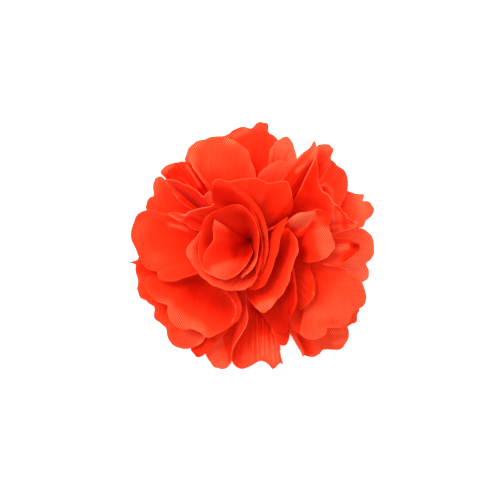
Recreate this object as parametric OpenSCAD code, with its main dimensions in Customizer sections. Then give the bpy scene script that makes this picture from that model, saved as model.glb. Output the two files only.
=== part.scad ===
// Flower corsage: satin petals sewn in rings on a domed felt pad that carries a plain bar pin.
// It lies on its back on z = 0, the face of the flower looks up along +Z and its top is +Y.

/* [Flower] */
// Width of the flower across its outermost petals, in mm
flower_w = 88; // [60:1:130]
// Thickness of one petal's wall of cloth, in mm
wall = 1; // [1:0.1:1.4]
// Number of wall strips from a petal's root to its rim
strips = 4; // [3:1:8]
// Wall columns for each chart point along a petal's rim
columns = 1.4; // [1:0.1:3]

/* [Felt pad] */
// Diameter of the pad, in mm
pad_d = 34.6; // [30:0.5:50]
// Height of the pad's flat underside over the surface, in mm
pad_z = 5.6; // [5:0.1:8]
// Thickness of the pad at its edge, in mm
pad_edge = 2; // [1:0.1:3]
// Rise of the pad's dome from its edge to its middle, in mm
pad_rise = 4.3; // [3:0.1:6]

/* [Bar pin] */
// Length of the bar, in mm
bar_l = 30; // [20:1:36]
// Width of the bar, in mm
bar_w = 5; // [4:0.5:8]
// Thickness of the bar, in mm
bar_t = 0.8; // [0.6:0.1:1.5]
// Gap between the bar and the pad, in mm
bar_gap = 0.3; // [0.2:0.1:0.5]
// Length of the hinge block and of the catch block, in mm
block_l = 4; // [3:0.5:6]
// Diameter of the stem that goes through the cloth, in mm
stem_d = 1; // [0.8:0.1:1.4]
// Height of the stem's middle over the surface, in mm
stem_z = 1.8; // [1.2:0.1:2.5]

/* [Hidden] */
// One step of the petal chart, in mm: the flower is 244 steps wide.
step = flower_w / 244;
// The middle of the chart: x goes to the right and y goes down the sheet from its top left corner.
mid = [252, 245];
// Height of a petal's root over the surface, in steps, at the edge ring and its rise per step inward.
root_z = 24;
root_rise = 0.25;
edge_ring = 48;

// Columns of the petal table.
// name: the node's name
// ring: centre x and y of the sewn ring, its radius, and the compass angles where the root starts and ends
// form: how steep the petal leaves its root (1 is straight), and how far its middle bulges up, in steps
// rim: a row for each fold or turn along the cut edge, with its x, y and height over the surface, in steps
NAME = 0;
RING = 1;
FORM = 2;
RIM = 3;
petals = [
    // The bud: a rolled heart and the petals wrapped round it.
    ["bud_heart", [248, 242, 4, 150, 335], [1.2, 0],
        [[215, 220, 100], [213, 230, 98], [214, 240, 96], [208, 249, 95], [204, 259, 94], [208, 270, 92],
         [218, 277, 91], [230, 278, 90], [241, 273, 89], [250, 265, 88], [254, 253, 86]]],
    ["bud_wrap_1", [248, 243, 8.5, 190, -85], [1.5, 0],
        [[201, 243, 88], [201, 232, 92], [204, 220, 95], [212, 212, 97], [222, 208, 98], [235, 204, 98],
         [245, 208, 97], [252, 216, 96], [257, 228, 94], [259, 240, 92], [258, 252, 89], [256, 263, 86],
         [250, 271, 84], [241, 278, 81]]],
    ["bud_wrap_2", [248, 243, 13, 140, -20], [1.5, 0],
        [[215, 205, 86], [213, 196, 88], [214, 187, 90], [219, 185, 92], [227, 187, 93], [235, 192, 93],
         [243, 198, 93], [251, 208, 91], [258, 220, 88], [263, 234, 85], [265, 247, 83], [264, 258, 80]]],
    ["bud_wrap_3", [248, 243, 17.5, 100, -50], [1.5, 0],
        [[233, 187, 78], [240, 190, 82], [247, 195, 84], [255, 202, 84], [263, 213, 82], [268, 226, 80],
         [270, 238, 78], [270, 250, 76], [267, 262, 74], [262, 272, 72]]],
    ["bud_lip", [248, 243, 13, 160, 300], [1.5, 0],
        [[203, 229, 80], [196, 238, 84], [187, 250, 84], [190, 259, 82], [196, 268, 80], [202, 276, 79],
         [212, 284, 78], [225, 289, 77], [239, 290, 76], [250, 286, 76], [257, 277, 76]]],
    ["bud_flap", [248, 243, 17.5, 165, 115], [1.3, 0],
        [[183, 227, 70], [173, 220, 78], [171, 213, 82], [179, 213, 80], [186, 214, 80], [191, 212, 82],
         [200, 209, 82], [210, 207, 79], [216, 202, 74], [222, 200, 68]]],
    ["bud_leaf", [248, 243, 22, 45, -80], [1.5, 0],
        [[277, 218, 82], [283, 216, 85], [288, 218, 86], [285, 227, 84], [282, 238, 82], [279, 250, 80],
         [275, 262, 77], [270, 274, 74], [264, 285, 70], [257, 289, 66], [250, 289, 62]]],

    // The standing petals round the bud.
    ["collar_petal", [248, 243, 26.5, 128, 32], [1.5, 0],
        [[217, 194, 58], [213, 184, 66], [218, 180, 72], [229, 182, 73], [240, 180, 74], [250, 179, 75],
         [260, 180, 75], [269, 184, 74], [279, 182, 75], [287, 183, 76], [290, 190, 76], [292, 200, 74],
         [291, 210, 70], [288, 216, 60]]],
    ["long_leaf", [248, 243, 27, 20, -105], [1.5, 0],
        [[287, 228, 60], [292, 233, 70], [297, 241, 73], [298, 251, 72], [294, 262, 71], [291, 273, 69],
         [288, 284, 67], [282, 294, 65], [274, 303, 62], [267, 311, 60], [260, 311, 58], [254, 305, 56],
         [248, 299, 52]]],
    ["petal_shadow", [248, 243, 31.5, -20, -78], [1.4, 4],
        [[291, 262, 54], [294, 275, 58], [296, 290, 58], [297, 300, 57], [294, 310, 54], [290, 317, 50],
         [288, 326, 46], [284, 333, 42], [276, 330, 38], [268, 322, 35], [262, 314, 34]]],
    ["petal_bright", [248, 243, 31, 21, -10], [1.4, 2],
        [[289, 220, 66], [296, 215, 73], [303, 213, 77], [311, 211, 72], [319, 210, 63], [328, 213, 60],
         [330, 220, 60], [328, 228, 63], [331, 236, 64], [334, 245, 63], [331, 252, 62], [324, 258, 60],
         [312, 262, 58], [304, 262, 54]]],
    ["petal_folded", [248, 243, 41, 30, 15], [1.3, 0],
        [[315, 157, 76], [317, 170, 71], [318, 184, 67], [322, 191, 64], [328, 196, 62], [333, 203, 60],
         [339, 208, 57], [345, 215, 52], [350, 220, 47], [356, 223, 42], [353, 228, 40], [344, 231, 40],
         [333, 234, 41]]],

    // The middle ring.
    ["petal_left", [248, 243, 31, 218, 180], [1.6, 4],
        [[196, 274, 48], [185, 277, 47], [172, 281, 46], [160, 279, 44], [158, 272, 43],
         [149, 269, 42], [141, 260, 41], [137, 250, 40], [132, 240, 38], [133, 226, 38], [138, 215, 40],
         [147, 210, 44], [155, 211, 47], [163, 213, 49], [171, 215, 51], [180, 218, 52], [188, 219, 54]]],
    ["petal_lower_left", [248, 243, 36.5, 241, 203], [1.2, 0],
        [[240, 301, 50], [242, 309, 49], [240, 316, 46], [235, 323, 43], [226, 329, 41], [216, 335, 38],
         [207, 337, 36], [200, 332, 34], [193, 329, 33], [183, 329, 32], [172, 323, 31], [168, 312, 31],
         [167, 305, 31], [157, 301, 30], [150, 295, 30], [146, 285, 29], [147, 277, 28]]],
    ["petal_low_fold", [248, 243, 35.5, 250, 264], [1.2, 0],
        [[204, 350, 4], [209, 361, 3], [214, 367, 3], [220, 369, 3], [227, 368, 6], [231, 362, 11],
         [232, 350, 22], [239, 338, 34], [245, 328, 43], [248, 318, 47]]],
    ["petal_tongue", [248, 243, 36.5, -18, -50], [1.4, 3],
        [[305, 261, 38], [309, 265, 41], [312, 275, 45], [315, 286, 47], [313, 297, 46], [308, 304, 44],
         [300, 310, 42]]],
    ["petal_lower_right", [249, 243, 41, -19, -57], [1.4, 3],
        [[339, 267, 31], [348, 271, 35], [356, 277, 35], [362, 283, 34], [364, 289, 34], [366, 298, 33],
         [364, 304, 33], [358, 309, 32], [352, 313, 32], [348, 323, 32], [340, 327, 32], [328, 328, 32],
         [325, 334, 32], [316, 339, 33], [306, 338, 34], [299, 333, 35], [293, 329, 37]]],
    ["petal_pocket", [248, 243, 36.5, -12, 12], [1.2, 3],
        [[328, 266, 52], [338, 266, 50], [347, 259, 44], [357, 252, 39], [359, 245, 43], [353, 241, 50],
         [345, 239, 54]]],
    ["petal_spike", [248, 243, 36.5, 66, 48], [1.3, 2],
        [[298, 158, 53], [304, 152, 56], [310, 147, 58], [314, 144, 59], [316, 150, 57], [316, 160, 52],
         [312, 172, 46], [305, 184, 42], [299, 195, 38]]],
    ["petal_top_small", [249, 243, 40, 90, 69], [1.4, 2],
        [[258, 178, 40], [262, 171, 41], [270, 165, 40], [280, 161, 38], [288, 163, 36], [292, 167, 34],
         [292, 175, 32]]],
    ["petal_top", [248, 243, 31, 128, 95], [1.4, 4],
        [[196, 172, 48], [190, 161, 46], [188, 151, 44], [195, 143, 42],
         [205, 140, 42], [216, 138, 42], [228, 139, 43], [240, 145, 44], [248, 152, 45], [251, 162, 46],
         [255, 172, 47], [256, 180, 46]]],
    ["petal_pleat", [248, 243, 35.5, 152, 136], [1.3, 0],
        [[177, 206, 34], [168, 192, 36], [164, 183, 41], [168, 180, 47], [176, 181, 52], [186, 185, 55],
         [196, 191, 57], [204, 197, 58], [207, 193, 60], [211, 191, 61]]],
    ["petal_upper_left", [248, 243, 31, 163, 150], [1.3, 4],
        [[160, 217, 36], [147, 209, 35], [147, 203, 36], [150, 198, 37], [154, 195, 38], [154, 187, 42],
         [155, 180, 46], [160, 177, 49], [165, 179, 51], [169, 185, 54], [175, 195, 56], [179, 201, 56]]],

    // The outer ring, whose rims make the outline.
    ["rim_left", [249, 243, 48, 207, 184], [1.5, 0],
        [[168, 301, 4], [157, 307, 3], [150, 304, 4], [146, 301, 4], [140, 297, 5], [137, 290, 6],
         [138, 283, 7], [136, 273, 8], [136, 264, 10], [140, 256, 12], [150, 250, 16]]],
    ["rim_lower_left", [249, 243, 47, 215, 230], [1.5, 1],
        [[149, 299, 14], [154, 306, 12], [154, 313, 11], [155, 319, 10], [161, 324, 9], [166, 328, 8],
         [167, 336, 7], [173, 345, 7], [182, 349, 7], [190, 348, 9], [198, 346, 12], [204, 341, 16],
         [207, 335, 20]]],
    ["rim_fold_low", [249, 243, 44, 238, 244], [1.5, 0],
        [[190, 345, 5], [192, 352, 5], [197, 357, 7], [204, 355, 13], [212, 347, 18], [221, 338, 23],
         [228, 330, 27]]],
    ["petal_low", [249, 243, 45, 263, 284], [1.6, 0],
        [[231, 353, 4], [232, 361, 3], [236, 367, 3], [243, 369, 5], [251, 366, 8], [260, 361, 10],
         [268, 364, 8], [273, 369, 8], [279, 364, 9], [281, 360, 10], [280, 352, 14], [280, 345, 17]]],
    ["rim_low_right", [249, 243, 40, 289, 296], [1.3, 2],
        [[272, 332, 30], [280, 344, 30], [285, 345, 29], [289, 338, 28], [290, 331, 28], [290, 322, 30]]],
    ["rim_right_low", [249, 243, 48, -27, -39], [1.4, 2],
        [[352, 302, 18], [359, 309, 17], [357, 316, 15], [356, 322, 14], [350, 325, 14], [340, 330, 15]]],
    ["rim_lower_right", [249, 243, 48, -46, -60], [1.4, 0],
        [[352, 318, 6], [348, 325, 5], [349, 333, 4], [347, 342, 3], [341, 349, 2], [331, 350, 2],
         [323, 350, 2], [319, 355, 2], [312, 357, 3], [303, 355, 4], [298, 349, 6], [292, 339, 11],
         [289, 330, 16]]],
    ["rim_right", [249, 243, 48, 4, -22], [1.4, 2],
        [[351, 228, 11], [363, 229, 8], [371, 235, 6], [374, 246, 6], [374, 253, 6], [370, 260, 6],
         [366, 264, 6], [369, 271, 6], [368, 278, 7], [361, 283, 9]]],
    ["rim_right_high", [249, 243, 48, 27, 10], [1.3, 2],
        [[343, 189, 10], [350, 192, 8], [358, 194, 8], [364, 195, 8], [363, 201, 8], [369, 202, 8],
         [374, 208, 9], [372, 215, 10], [366, 221, 12], [362, 227, 15], [352, 228, 19], [340, 229, 23]]],
    ["rim_right_up", [249, 243, 45, 43, 35], [1.3, 2],
        [[325, 160, 22], [329, 158, 21], [333, 161, 20], [337, 166, 19], [343, 169, 18], [347, 177, 17],
         [348, 187, 18], [345, 196, 20], [340, 206, 24]]],
    ["rim_upper_right", [249, 243, 41, 56, 46], [1.3, 2],
        [[318, 145, 41], [328, 145, 38], [333, 149, 36], [331, 156, 35], [329, 163, 34]]],
    ["rim_top_right", [249, 243, 48, 71, 59], [1.4, 2],
        [[270, 150, 26], [277, 141, 22], [285, 137, 20], [291, 140, 20], [294, 148, 21], [297, 159, 24],
         [297, 170, 26]]],
    ["rim_top", [249, 243, 48, 100, 77], [1.4, 1],
        [[228, 140, 19], [231, 132, 14], [237, 128, 11], [244, 127, 10], [251, 128, 9], [257, 123, 7],
         [262, 122, 6], [268, 124, 6], [268, 131, 7], [273, 135, 8], [277, 139, 9], [281, 146, 11],
         [285, 156, 14]]],
    ["rim_top_left", [249, 243, 48, 128, 107], [1.4, 2],
        [[186, 165, 14], [185, 158, 10], [188, 150, 8], [195, 143, 6], [204, 140, 5], [213, 136, 4],
         [224, 136, 3], [232, 132, 3], [237, 137, 4]]],
    ["petal_pleat_back", [249, 243, 43, 150, 136], [1.3, 0],
        [[167, 181, 28], [161, 172, 25], [165, 167, 30], [174, 163, 25], [180, 162, 31], [186, 162, 26],
         [191, 165, 24], [198, 168, 27]]],
];

// A smooth curve through the rows of a list, at place t counted in rows.
function curve(p, t) =
    let (n = len(p),
         k = min(floor(t), n - 2),
         f = t - k,
         b = p[k],
         c = p[k + 1],
         a = k > 0 ? p[k - 1] : 2 * b - c,
         d = k < n - 2 ? p[k + 2] : 2 * c - b)
    0.5 * (2 * b + (c - a) * f + (2 * a - 5 * b + 4 * c - d) * f * f
        + (3 * b - a - 3 * c + d) * f * f * f);

// A point of a petal's cloth in steps: s goes along the rim and v from the root to the rim.
function cloth(p, s, v) =
    let (ring = p[RING],
         rim = curve(p[RIM], s * (len(p[RIM]) - 1)),
         angle = ring[3] + (ring[4] - ring[3]) * s,
         root = [ring[0] + ring[2] * cos(angle), ring[1] - ring[2] * sin(angle),
                 root_z + root_rise * (edge_ring - ring[2])],
         up = 1 - pow(1 - v, p[FORM][0]),
         x = root.x + (rim.x - root.x) * v,
         y = root.y + (rim.y - root.y) * v,
         z = root.z + (rim.z - root.z) * up + p[FORM][1] * 4 * v * (1 - v))
    [x - mid.x, mid.y - y, z] * step;

// The direction square to the cloth, from small moves to each side.
function across(p, s, v, e = 0.01) =
    let (along = cloth(p, min(s + e, 1), v) - cloth(p, max(s - e, 0), v),
         out = cloth(p, s, min(v + e, 1)) - cloth(p, s, max(v - e, 0)),
         n = cross(along, out))
    n / norm(n);

// The two triangles of one patch of the grid.
function patch(a, b, c, d) = [[a, b, c], [a, c, d]];

// One petal: its cloth moved half a wall to each side, and closed round all four borders.
module petal(p) {
    m = round((len(p[RIM]) - 1) * columns);
    n = strips;
    row = m + 1;
    all = row * (n + 1);
    mids = [for (j = [0:n]) for (i = [0:m]) [i / m, j / n]];
    front = [for (q = mids) cloth(p, q[0], q[1]) + across(p, q[0], q[1]) * wall / 2];
    back = [for (q = mids) cloth(p, q[0], q[1]) - across(p, q[0], q[1]) * wall / 2];
    sheets = [for (j = [0:n - 1]) for (i = [0:m - 1])
        let (k = j * row + i)
        each concat(patch(k, k + row, k + row + 1, k + 1),
                    patch(all + k, all + k + 1, all + k + row + 1, all + k + row))];
    ends = [for (i = [0:m - 1])
        let (k = n * row + i)
        each concat(patch(i, i + 1, all + i + 1, all + i),
                    patch(k, all + k, all + k + 1, k + 1))];
    sides = [for (j = [0:n - 1])
        let (k = j * row, q = k + m)
        each concat(patch(k, all + k, all + k + row, k + row),
                    patch(q, q + row, all + q + row, all + q))];
    polyhedron(points = concat(front, back), faces = concat(sheets, ends, sides), convexity = 6);
}

module felt_pad() {
    top = pad_z + pad_edge;
    color([0.75, 0.05, 0.02])
        translate([0, (mid.y - 243) * step, 0])
            rotate_extrude($fn = 96)
                polygon([[0, pad_z], [pad_d / 2, pad_z], [pad_d / 2, top], [0, top + pad_rise]]);
}

module bar_pin() {
    bar_z = pad_z - bar_gap - bar_t;
    reach = bar_l - block_l;
    color([0.75, 0.76, 0.78])
        translate([0, (mid.y - 243) * step, 0]) {
            translate([-bar_l / 2, -bar_w / 2, bar_z])
                cube([bar_l, bar_w, bar_t]);
            for (x = [-reach / 2, reach / 2])
                translate([x - block_l / 2, -bar_w / 2, 0])
                    cube([block_l, bar_w, bar_z + bar_t / 2]);
            translate([-reach / 2, 0, stem_z])
                rotate([0, 90, 0])
                    cylinder(h = reach, d = stem_d, $fn = 32);
        }
}

for (p = petals)
    color([0.85, 0.07, 0.03])
            petal(p);
felt_pad();
bar_pin();
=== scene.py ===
# %% [markdown]
# # A satin flower corsage, petal by petal
#
# The real thing is a fabric brooch: some forty petals of orange red satin, cut with a hot knife, gathered
# and sewn in rings on a domed felt pad, with a rolled bud in the middle and a bar pin hidden behind.
# This notebook dresses a finished CAD model of it. The CAD holds the sizes and the places of all pieces,
# and here each petal becomes a thin sheet of cloth with folds, a weave, a bright sealed edge that is partly
# a painted highlight, and painted light and shade in its colour.

# %% Load the imported model
import math

import bmesh
import bpy
import numpy as np
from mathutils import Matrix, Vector


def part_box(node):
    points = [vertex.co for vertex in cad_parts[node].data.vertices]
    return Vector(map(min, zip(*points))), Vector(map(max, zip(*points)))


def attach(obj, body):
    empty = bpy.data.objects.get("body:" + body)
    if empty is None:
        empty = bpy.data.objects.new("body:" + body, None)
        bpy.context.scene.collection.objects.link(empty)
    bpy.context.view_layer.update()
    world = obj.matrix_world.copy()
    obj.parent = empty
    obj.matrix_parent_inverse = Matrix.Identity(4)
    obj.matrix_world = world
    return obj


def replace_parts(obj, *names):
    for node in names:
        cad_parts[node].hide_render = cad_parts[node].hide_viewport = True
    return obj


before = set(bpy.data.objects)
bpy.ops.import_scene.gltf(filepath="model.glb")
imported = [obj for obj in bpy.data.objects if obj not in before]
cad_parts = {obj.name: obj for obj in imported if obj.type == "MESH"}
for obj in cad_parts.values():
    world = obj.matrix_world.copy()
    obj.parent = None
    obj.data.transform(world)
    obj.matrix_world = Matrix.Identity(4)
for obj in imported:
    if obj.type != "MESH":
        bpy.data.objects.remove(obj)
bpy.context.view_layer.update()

# %% [markdown]
# ## The chart
# All petals were drawn on one chart, a sheet of 500 by 500 steps with y running down, on which the flower
# is 244 steps wide. Heights are in steps too. One number, the real width of the flower, turns the chart
# into metres. The CAD was drawn on the same chart. A root on the outermost ring is `root_z` steps up, and
# one further in is higher, because the pad is domed.

# %% One step of the chart in metres
flower_w = 0.088
flower_steps, sheet_steps = 244, 500
step = flower_w / flower_steps
mid = np.array([252.0, 245.0])
root_z, root_rise, edge_ring = 24, 0.25, 48
print("one step is %.3f mm" % (step * 1000))

# %% [markdown]
# ## The camera
# The camera hangs over the middle of the sheet, a little left of and below the flower's own. A long lens
# far away keeps the tall bud from growing against the low outer petals, so the chart and the picture agree.

# %% Camera straight above the sheet's middle
camera_height, rim_height = 2.0, 0.004
film_mm, farthest = 36, 20
camera_data = bpy.data.cameras.new("camera")
camera = bpy.data.objects.new("camera", camera_data)
bpy.context.scene.collection.objects.link(camera)
camera_data.sensor_width = film_mm
camera_data.lens = film_mm * (camera_height - rim_height) / (sheet_steps * step)
camera_data.clip_end = farthest
camera.location = ((sheet_steps / 2 - mid[0]) * step, (mid[1] - sheet_steps / 2) * step, camera_height)
bpy.context.scene.camera = camera
print("lens %.0f mm" % camera_data.lens)

# %% [markdown]
# ## Floor and light
# A plain white floor and soft light from a large panel overhead, set a little to the upper left, with an
# even white sky around it. The panel gives the petals their direction and the sky keeps the hollows soft.
# The colours go to the screen as they are, because the satin is so saturated that a film curve greys it.

# %% White floor, soft panels and sky
def floor_material(grey, roughness, glow):
    """A matt grey that also glows a little, so that the floor stays white in the picture."""
    material = bpy.data.materials.new("floor")
    material.use_nodes = True
    sockets = material.node_tree.nodes["Principled BSDF"].inputs
    sockets["Base Color"].default_value = (grey, grey, grey, 1)
    sockets["Roughness"].default_value = roughness
    sockets["Emission Color"].default_value = (1, 1, 1, 1)
    sockets["Emission Strength"].default_value = glow
    return material


def soft_panel(name, place, size, watts):
    """A square lamp of the given size that faces the flower."""
    lamp = bpy.data.lights.new(name, "AREA")
    lamp.size, lamp.energy = size, watts
    panel = bpy.data.objects.new(name, lamp)
    bpy.context.scene.collection.objects.link(panel)
    panel.location = place
    panel.rotation_euler = (-Vector(place)).to_track_quat("-Z", "Y").to_euler()
    panel.visible_camera = False


floor_w = 8
bpy.ops.mesh.primitive_plane_add(size=floor_w)
floor = bpy.context.object
floor.name = "floor"
floor.data.materials.append(floor_material(grey=0.93, roughness=0.8, glow=0.60))
soft_panel("main_panel", place=(-0.25, 0.30, 0.62), size=0.34, watts=4.6)
soft_panel("fill_panel", place=(0.30, -0.25, 0.60), size=0.50, watts=0.6)
sky_strength = 0.80
sky = bpy.data.worlds.new("sky")
bpy.context.scene.world = sky
sky.use_nodes = True
sky.node_tree.nodes["Background"].inputs["Color"].default_value = (1, 1, 1, 1)
sky.node_tree.nodes["Background"].inputs["Strength"].default_value = sky_strength
bpy.context.scene.view_settings.view_transform = "Standard"
print("stage: floor, 2 panels, sky")

# %% [markdown]
# ## Shader sums as plain Python
# A material is a graph of small nodes. Written one by one they hide what they mean, so a socket is wrapped
# in a class that knows +, - and *, and an expression such as `1 - mask` adds its own Math node.

# %% A value for sums, and a workbench for all other nodes
class Value:
    """A number that changes over the surface. Sums on it become Math nodes."""

    def __init__(self, bench, socket):
        self.bench, self.socket = bench, socket

    def math(self, operation, *inputs):
        """The Math node of that operation on the inputs."""
        return self.bench.add("Math", {"operation": operation}, dict(enumerate(inputs)))

    def __add__(self, other):
        return self.math("ADD", self, other)

    def __sub__(self, other):
        return self.math("SUBTRACT", self, other)

    def __rsub__(self, other):
        return self.math("SUBTRACT", other, self)

    def __mul__(self, other):
        return self.math("MULTIPLY", self, other)

    __radd__ = __add__
    __rmul__ = __mul__

    def wave(self, length):
        """A sine wave of that length, from -1 to 1."""
        return self.math("SINE", self * (2 * math.pi / length))

    def limited(self):
        """The value kept between 0 and 1."""
        return self.math("MINIMUM", self.math("MAXIMUM", self, 0.0), 1.0)

    def output(self, number):
        """Another output of the same node."""
        return Value(self.bench, self.socket.node.outputs[number])


class Bench:
    """The workbench of one material: its shader, and one method that adds any other node."""

    def __init__(self, name):
        self.material = bpy.data.materials.new(name)
        self.material.use_nodes = True
        self.tree = self.material.node_tree
        self.shader = self.tree.nodes["Principled BSDF"]

    def put(self, socket, value):
        """Links a value to a socket, or sets the socket's own number or colour."""
        if isinstance(value, Value):
            self.tree.links.new(value.socket, socket)
        else:
            socket.default_value = value

    def add(self, kind, settings=None, sockets=None, out=0):
        """A new shader node: its settings first, then the values and links of its sockets."""
        node = self.tree.nodes.new("ShaderNode" + kind)
        for key, value in (settings or {}).items():
            setattr(node, key, value)
        for key, value in (sockets or {}).items():
            self.put(node.inputs[key], value)
        return Value(self, node.outputs[out])

    def finish(self, **sockets):
        """Sets the shader's own sockets; an underscore in a name stands for a space."""
        for key, value in sockets.items():
            self.put(self.shader.inputs[key.replace("_", " ")], value)
        return self.material


print("the workbench is ready")

# %% [markdown]
# ## The petal table
# A row holds a petal's name, its ring (centre x and y, radius, and the compass angles where the root
# starts and ends), its form (how steeply it leaves the root, and how far its middle bulges up), and then
# its rim: a row for each fold or turn along the cut edge, with x, y and height. All are chart steps. Most
# rows are the CAD's own. The bud's, but for its lip, and the collar's rise differ, because cloth is a third
# as thick as the CAD's walls and rolls tighter. Three rim points of the spiked petal lie a step lower.

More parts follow.
